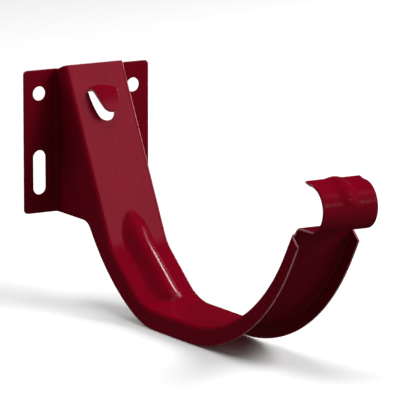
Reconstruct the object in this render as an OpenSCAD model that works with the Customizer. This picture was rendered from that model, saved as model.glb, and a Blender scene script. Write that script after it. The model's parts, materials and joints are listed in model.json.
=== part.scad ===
// Gutter bracket: one piece of folded and pressed sheet steel.
// A wall plate of two wings carries a channel whose floor is the seat of a
// half-round gutter, and ends in a hook that holds the gutter's front bead.
// Frame: X = out of the wall, Y = along the wall, Z = up.
// Origin: on the wall face, midway between the two round screw holes.
// Heights in the settings are taken from the bottom edge of the wings.

/* [Sheet] */
// Sheet thickness with its coating
sheet_t = 0.8; // [0.7:0.1:1.0]
// Inside radius of the sharp folds
fold_ri = 0.8; // [0.6:0.1:1.0]

/* [Wall plate] */
// Width over both wings
plate_w = 49; // [46:1:56]
// Height of the wings
plate_h = 50; // [50:1:60]
// Radius of the outer corners of the wings
plate_corner = 1.4; // [0.8:0.2:3]
// Diameter of the two round holes, and width of the slots
hole_d = 5; // [4.2:0.1:5.5]
// Distance between the round holes
hole_spacing = 37; // [36:0.5:38]
// Height of the round holes
hole_z = 41.8; // [38:0.2:43]
// Length of the slots, end to end
slot_len = 15.5; // [12:0.5:20]
// Height of the middle of the slots
slot_z = 14.2; // [12:0.2:18]

/* [Channel] */
// Width over the side flanges
channel_w = 23.6; // [22:0.2:25]
// Radius of the gutter seat
seat_r = 75; // [74:0.5:76]
// Distance from the wall to the lowest point of the seat
seat_x = 89.9; // [88:0.1:92]
// Height of the seat's lowest point
seat_z = -22.9; // [-25:0.1:-21]
// Length of the incline behind the gutter
incline_len = 62.5; // [58:0.1:66]
// Lowest point of the flanges
flange_z = -29.5; // [-31:0.1:-28]

/* [Hook] */
// Inside radius of the hook, for the gutter's bead
hook_r = 7.2; // [6.5:0.1:8]
// Length of the flared lip
lip_len = 0.8; // [0.5:0.1:4]
// Height of the stiffening bead on the hook
hook_bead_h = 0.6; // [0.4:0.1:1.0]

/* [Pressed details] */
// Radius of the stiffening rib at the back of the seat
rib_r = 4.7; // [4:0.1:5.5]
// Half width of the lanced tab
tab_w = 4.9; // [4:0.1:5.5]
// Length of the tab's rise; it stands off by 0.8 of this plus 1 mm
tab_run = 3; // [1.5:0.1:4]

/* [Hidden] */
$fn = 96;
ri = fold_ri;
ro = fold_ri + sheet_t;
hw = channel_w / 2;          // outer face of a flange
fw = hw - ro;                // half width of the flat floor and of the hook
deep = 30;                   // flange depth before the rim is cut
big = 260;

// Slopes come from whole turns of the 3-4-5 angle, so that each bend ends
// exactly where the next straight run begins.
back_a = atan2(3, 4);              // back of the seat, 36.9 degrees
front_a = 4 * back_a - 90;         // front of the seat, 57.5 degrees
lip_a = 3 * back_a - 90;           // flare of the lip, 20.6 degrees
tab_a = 90 - back_a;               // rise of the tab, 53.1 degrees
incline_a = 9 * back_a - 270;      // incline, 61.8 degrees

b1r = 17;  b2r = 22;               // radii of the two bends behind the seat
back_len = 16.1;  flat_len = 23.4;  front_len = 9;
sh_r = 4;  ledge = 6.2;  lip_r = 8;

// Frames along the floor: x heads from the wall to the hook along the face
// that the gutter rests on, z is the side of the gutter.
module about(r) translate([0, 0, r]) children();
module down(a) rotate([0, a, 0]) children();
module at_seat() translate([seat_x, 0, seat_z]) children();
module at_flat() at_seat() translate([-flat_len, 0, 0]) children();
module at_back_end() at_flat() about(b2r) down(back_a) about(-b2r) children();
module at_back() at_back_end() translate([-back_len, 0, 0]) children();
module at_incline_end()
    at_back() about(b1r) down(front_a) down(front_a) down(-90) about(-b1r)
        children();
module at_top() at_incline_end() translate([-incline_len, 0, 0]) children();
module at_front() at_seat() about(seat_r) down(-front_a) about(-seat_r) children();
module at_shoulder() at_front() translate([front_len, 0, 0]) children();
module at_ledge() at_shoulder() about(-sh_r) down(front_a) about(sh_r) children();
module at_hook() at_ledge() translate([ledge, 0, 0]) children();
module at_lip() at_hook() about(2 * hook_r) down(180) children();
module at_lip_end() at_lip() about(-lip_r) down(lip_a) about(lip_r) children();

// The same points in the plane seen from the side
function along(p, a, l) = p + l * [cos(a), sin(a)];
function off(p, a, l) = p + l * [-sin(a), cos(a)];
seat_p = [seat_x, seat_z];
flat_p = seat_p - [flat_len, 0];
back_end_p = off(off(flat_p, 0, b2r), -back_a, -b2r);
back_p = along(back_end_p, -back_a, -back_len);
incline_end_p = off(off(back_p, -back_a, b1r), -incline_a, -b1r);
top_p = along(incline_end_p, -incline_a, -incline_len);

// Half spaces ahead of a frame and behind it
module ahead() translate([0, -big / 2, -big / 2]) cube(big);
module behind() translate([-big, -big / 2, -big / 2]) cube(big);

// Sections are drawn with x as the depth below the seat face and y across.
// One is run straight from a frame, or turned about a centre above it (r > 0).
module run(len) rotate([90, 0, 90]) linear_extrude(len) rotate(-90) children();
module ring(r) about(r) rotate([90, 0, 0]) rotate_extrude() translate([r, 0]) children();

module channel_section()
    union() {
        translate([0, -fw]) square([sheet_t, 2 * fw]);
        for (m = [0, 1]) mirror([0, m]) {
            translate([ro, fw]) intersection() {
                difference() { circle(ro); circle(ri); }
                translate([-2 * ro, 0]) square([2 * ro, 2 * ro]);
            }
            translate([ro, hw - sheet_t]) square([deep, sheet_t]);
        }
    }
module strip_section() translate([0, -fw]) square([sheet_t, 2 * fw]);

module channel_blank() {
    at_top() translate([-4, 0, 0]) run(incline_len + 4) channel_section();
    intersection() {
        at_back() ring(b1r) channel_section();
        at_incline_end() ahead();
        at_back() behind();
    }
    at_back() run(back_len) channel_section();
    intersection() {
        at_flat() ring(b2r) channel_section();
        at_back_end() ahead();
        at_flat() behind();
    }
    at_flat() run(flat_len) channel_section();
    intersection() {
        at_seat() ring(seat_r) channel_section();
        at_seat() ahead();
        at_front() behind();
    }
    at_front() run(front_len) channel_section();
}

// Shape seen from the side, made w wide along Y
module side(w) rotate([90, 0, 0]) linear_extrude(w, center = true) children();

// Disc sector about c, radius r, from angle a to angle b
module pie(c, r, a, b)
    intersection() {
        translate(c) circle(r);
        polygon([c, along(c, a, 2 * r), along(c, (a + b) / 2, 2.4 * r),
                 along(c, b, 2 * r)]);
    }

// Flange rim: the outline of the whole channel, seen from the side
ra1 = 53;  rr2 = 78.6;  ra2 = 26.5;  rr3 = 38.1;  rr4 = 81.2;  ra4 = 57.5;
q4 = [seat_x - 20.7, flange_z];
q5 = [seat_x - 0.9, flange_z];
k3 = q4 + [0, rr3];
q3 = off(k3, -ra2, -rr3);
k2 = off(q3, -ra2, rr2);
q2 = off(k2, -ra1, -rr2);
rr1 = -q2[1] / (1 - cos(ra1));
k1 = off(q2, -ra1, -rr1);
k4 = q5 + [0, rr4];
q6 = off(k4, ra4, -rr4);
q7 = along(q6, ra4, 8.2);
cut_a = 138;                 // direction of the cut at the flanges' front ends
module outline()
    difference() {
        union() {
            polygon([[ro, 0], [k1[0], 0], q2, q3, q4, q5, q6, q7, q7 + [40, 40],
                     top_p + [40, 120], top_p + (top_p - [ro, plate_h]) * 4,
                     [ro, plate_h]]);
            pie(k2, rr2, 270 - ra1, 270 - ra2);
            pie(k3, rr3, 270 - ra2, 270);
            pie(k4, rr4, 270, 270 + ra4);
        }
        pie(k1, rr1, 90 - ra1, 90);
    }
module front_waste()
    for (s = [-1, 1]) translate([0, s * (fw + 5), 0]) side(10)
        polygon([along(q7, cut_a, -5), along(q7, cut_a, 9),
                 along(q7, cut_a, 9) + [14, 12], along(q7, cut_a, -5) + [14, 12]]);

module channel()
    difference() {
        intersection() {
            channel_blank();
            side(channel_w + 10) outline();
        }
        front_waste();
    }

module wing_outline()
    difference() {
        union() {
            translate([hw + ri, 0])
                square([plate_w / 2 - plate_corner - hw - ri, plate_h]);
            translate([plate_w / 2 - plate_corner - 1, plate_corner])
                square([plate_corner + 1, plate_h - 2 * plate_corner]);
            for (z = [plate_corner, plate_h - plate_corner])
                translate([plate_w / 2 - plate_corner, z]) circle(plate_corner);
        }
        translate([hole_spacing / 2 - hole_d / 2, slot_z - (slot_len - hole_d) / 2])
            square([hole_d, slot_len - hole_d]);
        for (e = [-1, 1])
            translate([hole_spacing / 2, slot_z + e * (slot_len - hole_d) / 2])
                circle(d = hole_d);
    }

module wings()
    for (m = [0, 1]) mirror([0, m, 0]) {
        difference() {
            rotate([90, 0, 90]) linear_extrude(sheet_t) wing_outline();
            translate([-1, hole_spacing / 2, hole_z])
                rotate([0, 90, 0]) cylinder(d = hole_d, h = sheet_t + 2);
        }
        // fold from the wing to the flange
        linear_extrude(plate_h) translate([ro, hw + ri]) intersection() {
            difference() { circle(ro); circle(ri); }
            translate([-2 * ro, -2 * ro]) square(2 * ro);
        }
    }

// Half-round rib that bridges the two bends at the back of the seat
module rib_body(r)
    at_back_end() translate([3.6, 0, 0]) {
        rotate([0, 90 + back_a, 0]) sphere(r);
        rotate([0, -90, 0]) cylinder(r = r, h = 55);
    }
// The side of the gutter, from halfway through the sheet, near the rib
module above_sheet() {
    d = sheet_t / 2;
    side(3 * rib_r) {
        polygon([off(top_p, -incline_a, -d), off(incline_end_p, -incline_a, -d),
                 off(back_p, -back_a, -d), off(back_end_p, -back_a, -d),
                 off(flat_p, 0, -d), off(seat_p, 0, -d), seat_p + [0, 60],
                 top_p + [30, 30]]);
        pie(off(back_p, -back_a, b1r), b1r + d, 270 - incline_a, 270 - back_a);
        pie(off(flat_p, 0, b2r), b2r + d, 270 - back_a, 270);
    }
}

// Lanced tab, drawn in the incline's frame: x runs down from its top edge
tab_s = 9;  tab_side_r = 28.3;  tab_end_r = 3.3;  tab_end = 17.8;
tab_t = tab_end + tab_end_r * (tab_end - tab_s) / (tab_side_r - tab_end_r);
tab_flat = 7;
module tab_outline(w) {
    intersection() {
        translate([tab_s, w - tab_side_r]) circle(tab_side_r);
        translate([tab_s, tab_side_r - w]) circle(tab_side_r);
        translate([tab_s, -w]) square([tab_t - tab_s, 2 * w]);
    }
    translate([tab_end, 0]) circle(tab_end_r);
}
module tab_section() translate([0, -tab_w - 1]) square([sheet_t, 2 * tab_w + 2]);
module at_tab() at_top() translate([tab_s, 0, 0]) children();
module at_rise() at_tab() about(ri) down(-tab_a) about(-ri) children();
module at_rise_end() at_rise() translate([tab_run, 0, 0]) children();
module at_tab_flat() at_rise_end() about(-ro) down(tab_a) about(ro) children();
module tab_strip() {
    intersection() {
        at_tab() ring(ri) tab_section();
        at_tab() ahead();
        at_rise() behind();
    }
    at_rise() run(tab_run) tab_section();
    intersection() {
        at_rise_end() ring(-ro) tab_section();
        at_rise_end() ahead();
        at_tab_flat() behind();
    }
    at_tab_flat() run(tab_flat) tab_section();
}
module tab()
    intersection() {
        tab_strip();
        at_top() translate([-1.6, 0, -3]) linear_extrude(12) {
            tab_outline(tab_w);
            translate([tab_s - 2, 0.1 - tab_w]) square([3.5, 2 * tab_w - 0.2]);
        }
    }

// Hook: shoulder, ledge, curl and flared lip, with a stiffening bead that is
// raised outward: it fades in on the curl and runs out over the lip's end.
bead_r = 7.6;                                      // radius of its section
bead_c = hook_r + sheet_t + hook_bead_h - bead_r;  // its centre from the curl's
bead_a = 95;                                       // where it reaches full height
module at_bead() at_hook() about(hook_r) down(-bead_a) children();
module hook_strip() {
    intersection() {
        at_shoulder() ring(-sh_r) strip_section();
        at_shoulder() ahead();
        at_ledge() behind();
    }
    at_ledge() run(ledge) strip_section();
    intersection() {
        at_hook() ring(hook_r) strip_section();
        at_hook() ahead();
    }
    intersection() {
        at_lip() ring(-lip_r) strip_section();
        at_lip() ahead();
        at_lip_end() behind();
    }
    at_lip_end() run(lip_len) strip_section();
}
// The bead as a solid of section radius r: d deepens it into the sheet
module bead_slice(r, d) intersection() {
    translate([bead_c - hook_r, 0]) circle(r);
    translate([d, -r]) square([2 * r, 2 * r]);
}
module hook_bead(r, d, over) {
    intersection() {
        at_hook() ring(hook_r) bead_slice(r, d);
        at_bead() ahead();
        at_hook() ahead();
    }
    intersection() {
        at_bead() translate([0, 0, -bead_c]) rotate([0, -90, 0]) sphere(r);
        at_bead() behind();
        at_hook() about(hook_r) difference() {
            side(3 * r) circle(3 * r);
            side(4 * r) circle(hook_r + d);
        }
    }
    intersection() {
        at_lip() ring(-lip_r) bead_slice(r, d);
        at_lip() ahead();
        at_lip_end() behind();
    }
    at_lip_end() run(lip_len + over) bead_slice(r, d);
}
module hook()
    difference() {
        union() {
            hook_strip();
            hook_bead(bead_r, sheet_t / 2, 0);
        }
        hook_bead(bead_r - sheet_t, -0.3, 1);
    }

module bracket()
    color([0.45, 0.05, 0.10]) translate([0, 0, -hole_z]) {
        difference() {
            union() {
                channel();
                intersection() {
                    rib_body(rib_r);
                    above_sheet();
                }
            }
            rib_body(rib_r - sheet_t);
            at_top() translate([0, 0, -3]) linear_extrude(6) tab_outline(tab_w);
        }
        wings();
        tab();
        hook();
    }

bracket();
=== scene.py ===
import json
import math
import bmesh
import bpy
import numpy as np
from mathutils import Matrix, Vector
from mathutils.geometry import delaunay_2d_cdt

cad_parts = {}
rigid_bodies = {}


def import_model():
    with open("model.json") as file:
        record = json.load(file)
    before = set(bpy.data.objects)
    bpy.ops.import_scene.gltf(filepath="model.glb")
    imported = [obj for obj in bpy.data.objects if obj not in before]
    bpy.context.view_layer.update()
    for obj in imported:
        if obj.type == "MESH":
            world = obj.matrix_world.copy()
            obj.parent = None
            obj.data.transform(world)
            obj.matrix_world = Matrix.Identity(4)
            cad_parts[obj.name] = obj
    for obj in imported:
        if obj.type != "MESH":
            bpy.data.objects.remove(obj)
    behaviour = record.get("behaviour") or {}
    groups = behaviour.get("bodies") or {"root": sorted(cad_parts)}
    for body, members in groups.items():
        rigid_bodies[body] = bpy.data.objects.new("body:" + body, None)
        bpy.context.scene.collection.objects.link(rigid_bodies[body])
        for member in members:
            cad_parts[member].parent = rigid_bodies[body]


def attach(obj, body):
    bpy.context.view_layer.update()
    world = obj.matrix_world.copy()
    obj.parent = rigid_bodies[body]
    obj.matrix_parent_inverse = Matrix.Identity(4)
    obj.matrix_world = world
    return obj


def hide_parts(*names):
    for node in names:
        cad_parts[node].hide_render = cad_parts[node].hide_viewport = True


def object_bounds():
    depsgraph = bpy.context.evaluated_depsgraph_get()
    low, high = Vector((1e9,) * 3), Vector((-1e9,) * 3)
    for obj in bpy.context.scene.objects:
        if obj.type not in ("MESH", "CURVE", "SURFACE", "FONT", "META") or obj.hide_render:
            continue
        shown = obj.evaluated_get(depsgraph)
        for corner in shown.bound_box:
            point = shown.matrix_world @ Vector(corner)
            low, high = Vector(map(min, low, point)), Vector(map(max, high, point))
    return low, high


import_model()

cad_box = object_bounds()
mm = 0.001
HZ = 41.8                       # the row's origin above the wings' bottom edge


# ---------------------------------------------------------------- material
def coat():
    """Wine-red semi-gloss powder coat."""
    m = bpy.data.materials.new("wine_red_powder_coat")
    m.use_nodes = True
    nt = m.node_tree
    nt.nodes.clear()
    out = nt.nodes.new("ShaderNodeOutputMaterial")
    b = nt.nodes.new("ShaderNodeBsdfPrincipled")
    nt.links.new(b.outputs[0], out.inputs[0])
    tc = nt.nodes.new("ShaderNodeTexCoord")

    def noise(scale, detail, rough):
        n = nt.nodes.new("ShaderNodeTexNoise")
        n.inputs["Scale"].default_value = scale
        n.inputs["Detail"].default_value = detail
        n.inputs["Roughness"].default_value = rough
        nt.links.new(tc.outputs["Object"], n.inputs["Vector"])
        return n

    # colour: a deep red with faint cloudiness in the film's thickness
    cloud = noise(60.0, 3.0, 0.6)
    ramp = nt.nodes.new("ShaderNodeValToRGB")
    ramp.color_ramp.elements[0].position = 0.3
    ramp.color_ramp.elements[0].color = (0.166, 0.0003, 0.0085, 1)
    ramp.color_ramp.elements[1].position = 0.7
    ramp.color_ramp.elements[1].color = (0.192, 0.0006, 0.0105, 1)
    nt.links.new(cloud.outputs["Fac"], ramp.inputs[0])
    # cut edges: paler pinkish red, partly the thin coat at the cut edges and partly a painted highlight along them
    edge = nt.nodes.new("ShaderNodeAttribute")
    edge.attribute_name = "cut_edge"
    patch = noise(420.0, 2.0, 0.6)
    edge_patchiness = nt.nodes.new("ShaderNodeMapRange")
    edge_patchiness.inputs["From Min"].default_value = 0.30
    edge_patchiness.inputs["From Max"].default_value = 0.55
    edge_patchiness.inputs["To Min"].default_value = 0.35
    edge_patchiness.inputs["To Max"].default_value = 1.0
    nt.links.new(patch.outputs["Fac"], edge_patchiness.inputs["Value"])
    amount = nt.nodes.new("ShaderNodeMath")
    amount.operation = "MULTIPLY"
    nt.links.new(edge.outputs["Fac"], amount.inputs[0])
    nt.links.new(edge_patchiness.outputs[0], amount.inputs[1])
    mix = nt.nodes.new("ShaderNodeMix")
    mix.data_type = "RGBA"
    # pale pink of the cut edges: part thin coat, part painted highlight
    mix.inputs[7].default_value = (0.62, 0.25, 0.27, 1)
    nt.links.new(amount.outputs[0], mix.inputs[0])
    nt.links.new(ramp.outputs[0], mix.inputs[6])
    nt.links.new(mix.outputs[2], b.inputs["Base Color"])
    # gloss: slightly uneven
    speck = noise(900.0, 2.0, 0.5)
    mr = nt.nodes.new("ShaderNodeMapRange")
    mr.inputs["From Min"].default_value = 0.3
    mr.inputs["From Max"].default_value = 0.7
    mr.inputs["To Min"].default_value = 0.24
    mr.inputs["To Max"].default_value = 0.31
    nt.links.new(speck.outputs["Fac"], mr.inputs["Value"])
    nt.links.new(mr.outputs[0], b.inputs["Roughness"])
    b.inputs["Specular IOR Level"].default_value = 0.5
    # orange peel
    peel = noise(650.0, 2.0, 0.5)
    bump = nt.nodes.new("ShaderNodeBump")
    bump.inputs["Strength"].default_value = 0.07
    bump.inputs["Distance"].default_value = 0.0002
    nt.links.new(peel.outputs["Fac"], bump.inputs["Height"])
    nt.links.new(bump.outputs[0], b.inputs["Normal"])
    return m


red = coat()
for o in list(bpy.data.objects):
    if o.type == "MESH":
        for s in o.material_slots:
            s.material = red

# >>> sheet
# ---------------------------------------------------------------- sheet metal
# The bracket as one folded sheet: a skin on the gutter's side of the sheet is
# laid out along the floor's path, then thickened with rounded cut edges.
# Lengths are in mm, heights from the wings' bottom edge.
T, RI = 0.8, 0.8
RO = RI + T
HW = 11.8                       # outer face of a flange
FW = HW - RO                    # half width of the flat floor
SEAT = (89.9, -22.9)
HOOK_R = 7.2
PLATE_H, PLATE_W, CORNER = 50.0, 24.5, 1.4
A_BACK = math.atan2(3, 4)
A_FRONT = 4 * A_BACK - math.pi / 2
A_LIP = 3 * A_BACK - math.pi / 2
A_INC = 9 * A_BACK - 1.5 * math.pi
SEGS = [(62.5, 0.0), (17.0, A_INC - A_BACK), (16.1, 0.0), (22.0, A_BACK), (23.4, 0.0),
        (75.0, A_FRONT), (9.0, 0.0), (4.0, -A_FRONT), (6.2, 0.0), (HOOK_R, math.pi),
        (8.0, -A_LIP), (0.8, 0.0)]
LEN = [r * abs(a) if a else r for r, a in SEGS]
CUM = np.concatenate([[0.0], np.cumsum(LEN)])


def path(s):
    """Point, heading on the floor's path at the distance s from its top edge."""
    x, z, h = TOP[0], TOP[1], -A_INC
    for i, (r, a) in enumerate(SEGS):
        last = i == len(SEGS) - 1
        d = s - CUM[i]
        if d <= LEN[i] + 1e-9 or last:
            if not a:
                return x + d * math.cos(h), z + d * math.sin(h), h
            return arc(x, z, h, r, a, d / r)
        if a:
            x, z, h = arc(x, z, h, r, a, abs(a))
        else:
            x, z = x + r * math.cos(h), z + r * math.sin(h)


def arc(x, z, h, r, a, turn):
    k = 1 if a > 0 else -1
    cx, cz = x - k * r * math.sin(h), z + k * r * math.cos(h)
    h2 = h + k * turn
    return cx + k * r * math.sin(h2), cz - k * r * math.cos(h2), h2


TOP = (0.0, 0.0)
seat0 = path(CUM[5])
TOP = (SEAT[0] - seat0[0], SEAT[1] - seat0[1])

# outline of the flanges, from the top of the wall fold to the hook
F_Z, R2, R3, R4 = -29.5, 78.6, 38.1, 81.2
RA1, RA2, RA4 = math.radians(53), math.radians(26.5), math.radians(57.5)
Q4, Q5 = (69.2, F_Z), (89.0, F_Z)
K3 = (Q4[0], Q4[1] + R3)
Q3 = (K3[0] - R3 * math.sin(RA2), K3[1] - R3 * math.cos(RA2))
K2 = (Q3[0] + R2 * math.sin(RA2), Q3[1] + R2 * math.cos(RA2))
Q2 = (K2[0] - R2 * math.sin(RA1), K2[1] - R2 * math.cos(RA1))
R1 = -Q2[1] / (1 - math.cos(RA1))
K1 = (Q2[0] - R1 * math.sin(RA1), Q2[1] - R1 * math.cos(RA1))
K4 = (Q5[0], Q5[1] + R4)
Q6 = (K4[0] + R4 * math.sin(RA4), K4[1] - R4 * math.cos(RA4))
Q7 = (Q6[0] + 8.2 * math.cos(RA4), Q6[1] + 8.2 * math.sin(RA4))
CUT = math.radians(138)


def sweep(c, r, a0, a1, n):
    return [(c[0] + r * math.cos(a0 + (a1 - a0) * i / n), c[1] + r * math.sin(a0 + (a1 - a0) * i / n))
            for i in range(n + 1)]


H = math.pi / 2
RIM = ([(RO, PLATE_H + 1), (RO, 0.0)] + sweep(K1, R1, H, H - RA1, 40)
       + sweep(K2, R2, 3 * H - RA1, 3 * H - RA2, 60)[1:] + sweep(K3, R3, 3 * H - RA2, 3 * H, 40)[1:]
       + sweep(K4, R4, 3 * H, 3 * H + RA4, 120) + [Q7, (Q7[0] + 6, Q7[1] + 9.4)])


def hit(p, d):
    """Distance from p along d to the flange's outline."""
    best = None
    for a, b in zip(RIM, RIM[1:]):
        ex, ez = b[0] - a[0], b[1] - a[1]
        den = d[0] * ez - d[1] * ex
        if abs(den) < 1e-12:
            continue
        wx, wz = a[0] - p[0], a[1] - p[1]
        t = (wx * ez - wz * ex) / den
        u = (wx * d[1] - wz * d[0]) / den
        if t > 1.0 and -1e-7 <= u <= 1 + 1e-7 and (best is None or t < best):
            best = t
    return best


# where the flanges' front cut meets the floor
def cut_station():
    a, b = CUM[6], CUM[7]
    for _ in range(60):
        m = (a + b) / 2
        x, z, h = path(m)
        side = (x - Q7[0]) * math.sin(CUT) - (z - Q7[1]) * math.cos(CUT)
        if side < 0:
            a = m
        else:
            b = m
    return (a + b) / 2


S_CUT = cut_station()
S_WALL = (RO - TOP[0]) * math.cos(A_INC) - (0.0 - TOP[1]) * math.sin(A_INC)
HOLE_A, HOLE_B = 4.0, 25.0      # the stretch of the incline that holds the tab's window


def rows():
    out = [0.0, 0.4, 1.0, 2.0, 3.0]
    out += list(np.linspace(HOLE_A, HOLE_B, 22))
    out += list(np.linspace(HOLE_B, S_WALL, 14)[1:])
    out += list(np.linspace(S_WALL, 50.0, 6)[1:])
    out += list(np.linspace(50.0, CUM[1], 26)[1:])
    for i, n in ((1, 14), (2, 28), (3, 26), (4, 14), (5, 64)):
        out += list(np.linspace(CUM[i], CUM[i + 1], n + 1)[1:])
    out += list(np.linspace(CUM[6], S_CUT, 7)[1:])
    out[-1] = S_CUT
    out += [S_CUT + 0.4] if S_CUT + 0.8 < CUM[7] else []
    out += [CUM[7]]
    for i, n in ((7, 10), (8, 6), (9, 44), (10, 8)):
        out += list(np.linspace(CUM[i], CUM[i + 1], n + 1)[1:])
    out += [CUM[12] - 0.3, CUM[12]]
    return [float(x) for x in out]


ROWS = rows()
YH = [0.0, 0.7, 1.4, 2.1, 2.7, 3.2, 3.6, 3.95, 4.22, 4.42, 4.57, 4.68, 4.8, 4.95, 5.15, 5.4, 5.75,
      6.2, 6.8, 7.6, 8.6, 9.8, FW]
YS = [-y for y in YH[:0:-1]] + YH

# rib behind the seat
RIB_R = 4.7
bx, bz, bh = path(CUM[3])
RIB_C = np.array([bx + 3.6 * math.cos(A_BACK), bz - 3.6 * math.sin(A_BACK)])
RIB_D = np.array([math.cos(A_BACK), -math.sin(A_BACK)])
RIB_N = np.array([math.sin(A_BACK), math.cos(A_BACK)])
FILLET = 2.2


def rib_centre(p, n):
    """Height of the rib's crest over the sheet, and half width of its foot."""
    rel = p - RIB_C
    al, q0 = rel @ RIB_D, rel @ RIB_N
    h = (RIB_R - q0) / (n @ RIB_N)
    if (rel + h * n) @ RIB_D > 0:
        b, c = rel @ n, rel @ rel - RIB_R ** 2
        h = -b + math.sqrt(b * b - c) if b * b > c else -1.0
    d2 = q0 * q0 + max(al, 0.0) ** 2
    sd = math.sqrt(d2) - RIB_R
    if sd > 0:
        h = -2.2 * sd
    foot = math.sqrt(max(RIB_R ** 2 - d2, 0.0))
    return max(h, 0.0) + max(FILLET - abs(h), 0.0) ** 2 / (4 * FILLET), foot


def rib_height(p, n, y):
    h, foot = rib_centre(p, n)
    w = math.sqrt(foot * foot + 1.2) + RIB_SOFT
    if abs(y) >= w:
        return 0.0
    return RIB_GAIN * h * math.cos(math.pi * y / (2 * w)) ** RIB_POW


RIB_SOFT, RIB_POW, RIB_GAIN = 1.1, 1.7, 0.84


def smooth(x):
    x = min(max(x, 0.0), 1.0)
    return x * x * (3 - 2 * x)


def bead_height(s, y):
    if s < CUM[9] or abs(y) >= BEAD_W:
        return 0.0
    turn = min((s - CUM[9]) / HOOK_R, math.pi)
    return BEAD_H * smooth((turn - BEAD_0) / (BEAD_1 - BEAD_0)) * 0.5 * (1 + math.cos(math.pi * y / BEAD_W))


BEAD_W, BEAD_H = 3.9, 0.7
BEAD_0, BEAD_1 = math.radians(86), math.radians(122)


class Skin:
    def __init__(self):
        self.v, self.n, self.f = [], [], []

    def add(self, p, n):
        self.v.append(np.array(p, float))
        n = np.array(n, float)
        self.n.append(n / np.linalg.norm(n))
        return len(self.v) - 1


sk = Skin()
web = {}                        # (row, column) -> vertex
frames = []
for i, s in enumerate(ROWS):
    x, z, h = path(s)
    p, t, n = np.array([x, z]), np.array([math.cos(h), math.sin(h)]), np.array([-math.sin(h), math.cos(h)])
    shear = 0.0
    if s < 12:
        e = np.array([RO, PLATE_H]) - np.array(TOP)
        t0, n0 = np.array([math.cos(-A_INC), math.sin(-A_INC)]), np.array([math.sin(A_INC), math.cos(A_INC)])
        shear = (e @ t0) / (-(e @ n0)) * (1 - s / 12)
    if S_CUT - 8 < s <= S_CUT + 1e-6:
        e = np.array([-math.cos(CUT), -math.sin(CUT)])
        shear = (e @ t) / (-(e @ n)) * (1 - (S_CUT - s) / 8)
    frames.append((p, t, n, shear))


def at(i, y, depth=0.0, lift=0.0):
    p, t, n, shear = frames[i]
    q = p - depth * n + depth * shear * t + lift * n
    return np.array([q[0], y, q[1]])


in_hole = lambda s, y: HOLE_A + 1e-6 < s < HOLE_B - 1e-6 and abs(y) < FW - 1e-6
for i, s in enumerate(ROWS):
    p, t, n, shear = frames[i]
    near_rib = 48 < s < CUM[4] + 0.5
    for j, y in enumerate(YS):
        if in_hole(s, y):
            continue
        lift = 0.0
        if near_rib:
            lift = rib_height(p, n, y)
        elif s >= CUM[9]:
            lift = -bead_height(s, y)
        web[i, j] = sk.add(at(i, y, 0, lift), (n[0], 0, n[1]))
# normals where the sheet is pressed out of its path
for (i, j), v in web.items():
    s = ROWS[i]
    if (48 < s < CUM[4] or s >= CUM[9]) and abs(YS[j]) < 8:
        a, b = web.get((i + 1, j), v), web.get((i - 1, j), v)
        c, d = web[i, j + 1], web[i, j - 1]
        nn = np.cross(sk.v[a] - sk.v[b], sk.v[c] - sk.v[d])
        nn /= np.linalg.norm(nn)
        if nn @ sk.n[v] < 0:
            nn = -nn
        sk.n[v] = nn
for i in range(len(ROWS) - 1):
    for j in range(len(YS) - 1):
        k = [web.get((i, j)), web.get((i + 1, j)), web.get((i + 1, j + 1)), web.get((i, j + 1))]
        s = (ROWS[i] + ROWS[i + 1]) / 2
        if None not in k and not HOLE_A < s < HOLE_B:
            sk.f.append(k)

# folds, flanges, wall folds
I_CUT = min(range(len(ROWS)), key=lambda i: abs(ROWS[i] - S_CUT))
I_WALL = min(range(len(ROWS)), key=lambda i: abs(ROWS[i] - S_WALL))
NF = 7
wing_edge = {}
for side in (-1, 1):
    jw = 0 if side < 0 else len(YS) - 1
    cols = {}
    for i in range(I_CUT + 1):
        p, t, n, shear = frames[i]
        line = [web[i, jw]]
        for k in range(1, NF + 1):
            a = H * k / NF
            nn = np.array([n[0] * math.cos(a), side * math.sin(a), n[1] * math.cos(a)])
            line.append(sk.add(at(i, side * (FW + RO * math.sin(a)), RO - RO * math.cos(a)), nn))
        d = -n + shear * t
        end = hit(p, d)
        deep = [RO + 0.35] + [RO + (end - RO) * f for f in (0.2, 0.45, 0.7)] + [end - 0.4, end]
        for q in deep:
            line.append(sk.add(at(i, side * HW, q), (0, side, 0)))
        if i <= I_WALL:
            for k in range(1, NF + 1):
                a = H * k / NF
                zz = sk.v[line[NF + len(deep)]][2]
                line.append(sk.add((RO - RI * math.sin(a), side * (HW + RI - RI * math.cos(a)), zz),
                                   (math.sin(a), side * math.cos(a), 0)))
            wing_edge[side, i] = line[-1]
        cols[i] = line
    for i in range(I_CUT):
        a, b = cols[i], cols[i + 1]
        for k in range(min(len(a), len(b)) - 1):
            q = [a[k], b[k], b[k + 1], a[k + 1]]
            sk.f.append(q if side > 0 else q[::-1])


def cdt(loops, extra, drop):
    """Triangles of the area between closed loops of (point, vertex or None); extra points inside; drop(c) leaves a face out."""
    pts, ids, edges = [], [], []
    for loop in loops:
        k = len(pts)
        pts += [Vector(q[0]) for q in loop]
        ids += [q[1] for q in loop]
        edges += [(k + a, k + (a + 1) % len(loop)) for a in range(len(loop))]
    pts += [Vector(q) for q in extra]
    ids += [None] * len(extra)
    vs, _, fs, orig, _, _ = delaunay_2d_cdt(pts, edges, [], 0, 1e-6)
    keep = []
    for f in fs:
        c = sum((vs[a] for a in f), Vector((0, 0))) / 3
        if not drop(c):
            keep.append(f)
    return vs, keep, [next((ids[o] for o in os_ if ids[o] is not None), None) for os_ in orig]


def inside(c, poly):
    n, r = len(poly), False
    for a in range(n):
        (x1, y1), (x2, y2) = poly[a], poly[(a + 1) % n]
        if (y1 > c[1]) != (y2 > c[1]) and c[0] < (x2 - x1) * (c[1] - y1) / (y2 - y1) + x1:
            r = not r
    return r


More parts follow.
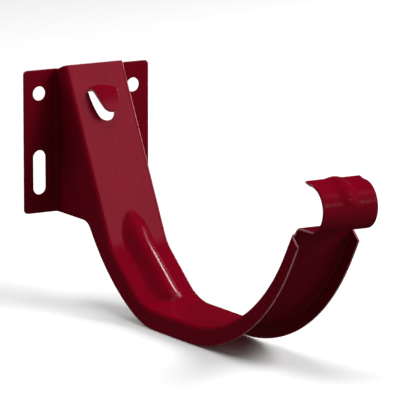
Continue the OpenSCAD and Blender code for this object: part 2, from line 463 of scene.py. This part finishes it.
# wings, with their holes and slots
def ring(cy, cz, r, n, stretch=0.0):
    out = []
    for k in range(n):
        a = 2 * math.pi * k / n + 1e-6
        out.append((cy + r * math.cos(a), cz + r * math.sin(a) + (stretch if math.sin(a) > 0 else -stretch)))
    return out


HOLE_Y, HOLE_Z, HOLE_R = 18.5, 41.8, 2.5
SLOT_Z, SLOT_H = 14.2, 15.5 / 2 - 2.5
for side in (-1, 1):
    left = [((HW + RI, sk.v[wing_edge[side, i]][2]), wing_edge[side, i]) for i in range(I_WALL + 1)]
    outer = [((PLATE_W - CORNER + CORNER * math.sin(a), CORNER - CORNER * math.cos(a)), None)
             for a in np.linspace(0, H, 9)]
    outer += [((PLATE_W, z), None) for z in np.linspace(CORNER, PLATE_H - CORNER, 12)[1:-1]]
    outer += [((PLATE_W - CORNER + CORNER * math.cos(a), PLATE_H - CORNER + CORNER * math.sin(a)), None)
              for a in np.linspace(0, H, 9)]
    hole = ring(HOLE_Y, HOLE_Z, HOLE_R, 48)
    slot = ring(HOLE_Y, SLOT_Z, HOLE_R, 48, SLOT_H)
    loops = [left + outer, [(q, None) for q in hole], [(q, None) for q in slot]]
    extra = ring(HOLE_Y, HOLE_Z, HOLE_R + 0.4, 48) + ring(HOLE_Y, SLOT_Z, HOLE_R + 0.4, 48, SLOT_H)
    extra += [(HW + RI + 0.4, sk.v[wing_edge[side, i]][2]) for i in range(1, I_WALL)]
    extra += [(PLATE_W - 0.4, z) for z in np.linspace(1.6, PLATE_H - 1.6, 30)]
    extra += [(y, z) for y in np.linspace(14, 23.4, 9) for z in (0.4, PLATE_H - 0.4)]
    vs, fs, ids = cdt(loops, extra, lambda c: inside(c, hole) or inside(c, slot)
                      or not inside(c, [q[0] for q in loops[0]]))
    idx = [k if k is not None else sk.add((T, side * vs[a][0], vs[a][1]), (1, 0, 0)) for a, k in enumerate(ids)]
    for f in fs:
        q = [idx[a] for a in f]
        sk.f.append(q if side > 0 else q[::-1])

# the tab's window in the incline, and the tab
TAB_S, TAB_W, TAB_SIDE, TAB_END, TAB_END_R = 9.0, 4.9, 28.3, 17.8, 3.3
GAP = 0.06


def root(y):
    return TAB_S - 0.9 * (1 - (y / TAB_W) ** 2)


def window(side_gap):
    """Right-hand outline from the root to the tip, as (half width, s)."""
    w, e = TAB_W - side_gap, TAB_END_R - side_gap
    r = TAB_SIDE - side_gap if side_gap else TAB_SIDE
    d = math.hypot(TAB_END - TAB_S, TAB_SIDE - TAB_W)
    a_t = math.atan2(TAB_END - TAB_S, TAB_SIDE - TAB_W)
    out = [(TAB_W - TAB_SIDE + r * math.cos(a), TAB_S + r * math.sin(a)) for a in np.linspace(0, a_t, 15)]
    out += [(e * math.cos(a), TAB_END + e * math.sin(a)) for a in np.linspace(a_t, H, 12)[1:]]
    return out


NT = 16
ys = np.linspace(-(TAB_W - GAP), TAB_W - GAP, NT + 1)
half = window(0.0)
hole = [(root(y), y) for y in ys]
i0, i1 = (min(range(len(ROWS)), key=lambda i: abs(ROWS[i] - v)) for v in (HOLE_A, HOLE_B))
hole += [(s, w) for w, s in half] + [(s, -w) for w, s in half[-2::-1]]
outer = [((ROWS[i0], YS[j]), web[i0, j]) for j in range(len(YS))]
outer += [((ROWS[i], FW), web[i, len(YS) - 1]) for i in range(i0 + 1, i1)]
outer += [((ROWS[i1], YS[j]), web[i1, j]) for j in range(len(YS) - 1, -1, -1)]
outer += [((ROWS[i], -FW), web[i, 0]) for i in range(i1 - 1, i0, -1)]
extra = []
for k, (a, b) in enumerate(hole):
    (a0, b0), (a1, b1) = hole[k - 1], hole[(k + 1) % len(hole)]
    da, db = a1 - a0, b1 - b0
    m = math.hypot(da, db)
    extra.append((a - 0.4 * db / m, b + 0.4 * da / m))
poly = [tuple(q) for q in hole]
extra = [e for e in extra if not inside(e, poly)]
if len(extra) < 20:
    extra = [(2 * a - e[0], 2 * b - e[1]) for (a, b), e in zip(hole, extra)]
extra += [(s, y) for s in np.linspace(5, 24, 20) for y in (-9.6, -8.4, -7, 7, 8.4, 9.6)]
vs, fs, ids = cdt([outer, [(q, None) for q in hole]], extra, lambda c: inside(c, poly))
p0, t0, n0, _ = frames[0]


def on_incline(s, y, lift=0.0):
    q = np.array(TOP) + s * np.array([math.cos(A_INC), -math.sin(A_INC)]) + lift * np.array([math.sin(A_INC), math.cos(A_INC)])
    return np.array([q[0], y, q[1]])


N_INC = (math.sin(A_INC), 0, math.cos(A_INC))
idx = [k if k is not None else sk.add(on_incline(vs[a][0], vs[a][1]), N_INC) for a, k in enumerate(ids)]
for f in fs:
    sk.f.append([idx[a] for a in f])
root_ids = []
for y in ys:
    q = on_incline(root(y), y)
    root_ids.append(min(idx, key=lambda v: np.linalg.norm(sk.v[v] - q)))

# bend profile of the tab: angle against developed length
def tab_angle(l):
    up, mid, down = math.radians(76), math.radians(14), math.radians(4)
    if l < 0.8:
        return up * smooth(l / 0.8)
    if l < 1.4:
        return up
    return up + (mid - up) * smooth((l - 1.4) / 4.4) + (down - mid) * smooth((l - 5.8) / 7)


L_ = np.linspace(0, 14, 1401)
ang = np.array([tab_angle(l) for l in L_])
U_ = np.concatenate([[0], np.cumsum(np.cos(ang[:-1]) * np.diff(L_))])
Z_ = np.concatenate([[0], np.cumsum(np.sin(ang[:-1]) * np.diff(L_))])
edge = window(GAP)
se = [q[1] for q in edge]
we = [q[0] for q in edge]
lrows = [0.2, 0.4, 0.6, 0.8, 1.1, 1.5, 1.9, 2.3, 2.7, 3.1, 3.5, 3.9, 4.3, 4.8, 5.3, 5.8, 6.4, 7.2, 8.0, 8.6]
tip = [TAB_END + (TAB_END_R - GAP) * math.sin(a) for a in np.linspace(0.1, H - 0.16, 9)]
prev = root_ids
for l in [(l, None) for l in lrows] + [(None, s) for s in tip]:
    cur = []
    s_mid = l[1] if l[0] is None else TAB_S + l[0]
    w = np.interp(s_mid, se, we)
    for y in ys:
        yy = y / (TAB_W - GAP) * w
        dev = s_mid - (TAB_S - root(y)) * (1 - smooth((s_mid - TAB_S) / 4)) - root(y) if l[1] is None else s_mid - root(y)
        dev *= 1.08                 # the tab is drawn a little as it's pressed out
        uu, zz, a = np.interp(dev, L_, U_), np.interp(dev, L_, Z_), tab_angle(dev)
        cur.append(sk.add(on_incline(root(y) + uu, yy, zz),
                          np.array([math.sin(A_INC), 0, math.cos(A_INC)]) * math.cos(a)
                          - np.array([math.cos(A_INC), 0, -math.sin(A_INC)]) * math.sin(a)))
    for k in range(NT):
        sk.f.append([prev[k], cur[k], cur[k + 1], prev[k + 1]])
    prev = cur


def build(sk):
    """Thickens the skin by T, with cut edges rounded."""
    V, N = np.array(sk.v), np.array(sk.n)
    used = sorted({a for f in sk.f for a in f})
    remap = {a: k for k, a in enumerate(used)}
    F = [[remap[a] for a in f] for f in sk.f]
    V, N = V[used], N[used]
    # faces turn the way their normals do
    for f in F:
        a = np.cross(V[f[1]] - V[f[0]], V[f[2]] - V[f[0]])
        if len(f) == 4:
            a = a + np.cross(V[f[2]] - V[f[0]], V[f[3]] - V[f[0]])
        if a @ N[f].sum(0) < 0:
            f.reverse()
    seen = {}
    for f in F:
        for a, b in zip(f, f[1:] + f[:1]):
            seen[a, b] = seen.get((a, b), 0) + 1
    rim = [(a, b) for (a, b) in seen if (b, a) not in seen]
    out = np.zeros_like(V)
    cnt = {}
    for a, b in rim:
        e = V[b] - V[a]
        for v in (a, b):
            w = np.cross(e, N[v])
            w /= max(np.linalg.norm(w), 1e-12)
            cnt.setdefault(v, []).append(w)
    for v, ws in cnt.items():
        w = sum(ws)
        m = np.linalg.norm(w)
        w = w / m if m > 1e-6 else ws[0]
        c = max(w @ ws[0], 0.5)
        out[v] = w / c
    r = 0.14
    n = len(V)
    verts = [V - r * out, V - r * out - T * N]           # rims move in by r
    wear_and_highlight = [np.zeros(n), np.zeros(n)]
    faces = [list(f) for f in F] + [[n + a for a in reversed(f)] for f in F]
    rv = sorted(cnt)
    pos = {v: k for k, v in enumerate(rv)}
    B, E, Q = V[rv], out[rv], N[rv]
    # pale cut edges, part thin coat and part painted highlight: fading in away from the wall, ending before the hook
    # (EDGE_END), weaker on the +Y side
    bare_and_highlight = np.clip((B[:, 0] - 3) / 3, 0, 1) * np.clip((EDGE_END - B[:, 0]) / 2, 0, 1)
    bare_and_highlight *= np.where(B[:, 1] > 8, 0.4, 1.0)
    levels = []
    base = 2 * n
    c45 = 1 - math.sqrt(0.5)
    for off_b, off_n in ((r * c45, r * c45), (0, r), (0, T - r), (r * c45, T - r * c45)):
        levels.append(base)
        verts.append(B - off_b * E - off_n * Q)
        wear_and_highlight.append(bare_and_highlight * (0.25 if off_b else 1.0))
        base += len(rv)
    for a, b in rim:
        chain = [(b, a)] + [(k + pos[b], k + pos[a]) for k in levels] + [(n + b, n + a)]
        for (b0, a0), (b1, a1) in zip(chain, chain[1:]):
            faces.append([b0, a0, a1, b1])
    return np.vstack(verts), faces, np.concatenate(wear_and_highlight)


EDGE_END = 170.0                # the pale cut edges (thin coat with a painted highlight) end here
V, F, WEAR_AND_HIGHLIGHT = build(sk)
V = (V - np.array([0, 0, HZ])) * mm
me = bpy.data.meshes.new("bracket_sheet")
me.from_pydata([tuple(v) for v in V], [], F)
me.validate()
me.update()
# mask of the pale cut edges: part wear, part painted highlight
at_ = me.attributes.new("cut_edge", "FLOAT", "POINT")
at_.data.foreach_set("value", WEAR_AND_HIGHLIGHT.astype(np.float32))
for p in me.polygons:
    p.use_smooth = True
sheet = bpy.data.objects.new("bracket_sheet", me)
bpy.context.scene.collection.objects.link(sheet)
sheet.data.materials.append(red)
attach(sheet, "root")
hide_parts("bracket")
bm = bmesh.new()
bm.from_mesh(me)
open_edges = [e for e in bm.edges if len(e.link_faces) != 2]
print("SHEET verts", len(bm.verts), "faces", len(bm.faces), "open edges", len(open_edges),
      "volume mm3", round(bm.calc_volume() * 1e9, 1))
for e in open_edges[:10]:
    print("  open", [round(c * 1000, 2) for c in e.verts[0].co], [round(c * 1000, 2) for c in e.verts[1].co], len(e.link_faces))
bm.free()
# <<< sheet

# ---------------------------------------------------------------- floor
lo, hi = cad_box[0], cad_box[1]
floor_z = lo[2] - 0.0002
bpy.ops.mesh.primitive_plane_add(size=8.0, location=(0.0, 0.0, floor_z))
floor = bpy.context.object
floor.name = "floor"
fm = bpy.data.materials.new("floor_white")
fm.use_nodes = True
fb = fm.node_tree.nodes["Principled BSDF"]
fb.inputs["Base Color"].default_value = (0.92, 0.92, 0.92, 1)
fb.inputs["Roughness"].default_value = 0.9
floor.data.materials.append(fm)
floor.visible_glossy = False
floor.visible_diffuse = False

# ---------------------------------------------------------------- camera
eye = Vector((1613.763, -885.967, 355.703 - HZ)) * mm
view = Vector((-0.85051678, 0.49104609, -0.18840103)).normalized()
right = Vector((0.5, 0.8660254, 0.0))
up = right.cross(view).normalized()
cam_data = bpy.data.cameras.new("camera")
cam_data.sensor_width = 36.0
cam_data.lens = 36.0 * 5397.9 / 400.0
cam_data.clip_start = 0.05
cam_data.clip_end = 50.0
cam = bpy.data.objects.new("camera", cam_data)
bpy.context.scene.collection.objects.link(cam)
rot = Matrix((right, up, -view)).transposed()
cam.matrix_world = Matrix.Translation(eye) @ rot.to_4x4()
bpy.context.scene.camera = cam


# ---------------------------------------------------------------- light
def area(name, target, az, el, dist, w, h, power, color=(1, 1, 1)):
    d = bpy.data.lights.new(name, "AREA")
    d.shape = "RECTANGLE"
    d.size, d.size_y = w, h
    d.energy = power
    d.color = color
    o = bpy.data.objects.new(name, d)
    bpy.context.scene.collection.objects.link(o)
    a, e = math.radians(az), math.radians(el)
    pos = Vector((math.cos(e) * math.cos(a), math.cos(e) * math.sin(a), math.sin(e))) * dist
    o.location = Vector(target) + pos
    o.rotation_euler = (-pos).to_track_quat("-Z", "Y").to_euler()
    return o


c = (0.09, 0.0, -0.02)
# broad fill, seen in the shading and not as reflections
for name, az, el, size, power in (("main", 50, 38, 0.6, 10.8), ("right", 100, 20, 0.6, 9.5), ("top", 0, 88, 0.6, 6.0),
                                  ("left", -135, 45, 0.6, 4.3), ("front", 30, 15, 0.6, 2.2),
                                  ("back", -150, 30, 0.6, 1.6)):
    fill = area(name, c, az, el, 1.2, size, size, power)
    fill.visible_glossy = False
    fill.data.cycles.use_multiple_importance_sampling = False
# softboxes, seen as reflections
for name, az, el, dist, w_, h_, power in (("strip_hook", 31, 17, 1.2, 0.4, 0.03, 0.16), ("box_60", 60, 13, 1.2, 0.05, 0.05, 0.13),
                                          ("box_85", 85, 3, 1.2, 0.36, 0.36, 0.12), ("box_120", 120, 8, 1.2, 0.5, 0.4, 1.1),
                                          ("box_128", 128, 6, 1.2, 0.2, 0.2, 0.7),
                                          ("box_109", 109, 8, 1.2, 0.2, 0.3, 0.12), ("box_back", 175, 12, 1.2, 0.3, 0.3, 0.15),
                                          ("spot_left", -82, 42, 1.2, 0.04, 0.04, 0.012)):
    area(name, c, az, el, dist, w_, h_, power).visible_diffuse = False
card = area("box_incline", (0.013, 0.0, -0.004), 37, 37, 0.28, 0.14, 0.14, 0.0122, (1.0, 0.3, 0.38))
card.data.spread = math.radians(60)
card.visible_diffuse = False
# light that a pale table throws back up
bounce = area("bounce", (0.09, 0.0, floor_z), 0, 90, 0.0002, 0.5, 0.35, 0.085)
bounce.rotation_euler = (math.pi, 0.0, 0.0)
bounce.visible_camera = False
bounce.visible_glossy = False
w = bpy.data.worlds.new("studio")
w.use_nodes = True
wn = w.node_tree
wb = wn.nodes["Background"]
wb.inputs[0].default_value = (1, 1, 1, 1)
lp = wn.nodes.new("ShaderNodeLightPath")
prev = None
for ray, value in (("Is Camera Ray", 1.0), ("Is Diffuse Ray", 0.10), ("Is Glossy Ray", 0.004)):
    mul = wn.nodes.new("ShaderNodeMath")
    mul.operation = "MULTIPLY"
    mul.inputs[1].default_value = value
    wn.links.new(lp.outputs[ray], mul.inputs[0])
    if prev is None:
        prev = mul
        continue
    add = wn.nodes.new("ShaderNodeMath")
    add.operation = "ADD"
    wn.links.new(prev.outputs[0], add.inputs[0])
    wn.links.new(mul.outputs[0], add.inputs[1])
    prev = add
wn.links.new(prev.outputs[0], wb.inputs[1])
bpy.context.scene.world = w
bpy.context.scene.view_settings.view_transform = "Standard"
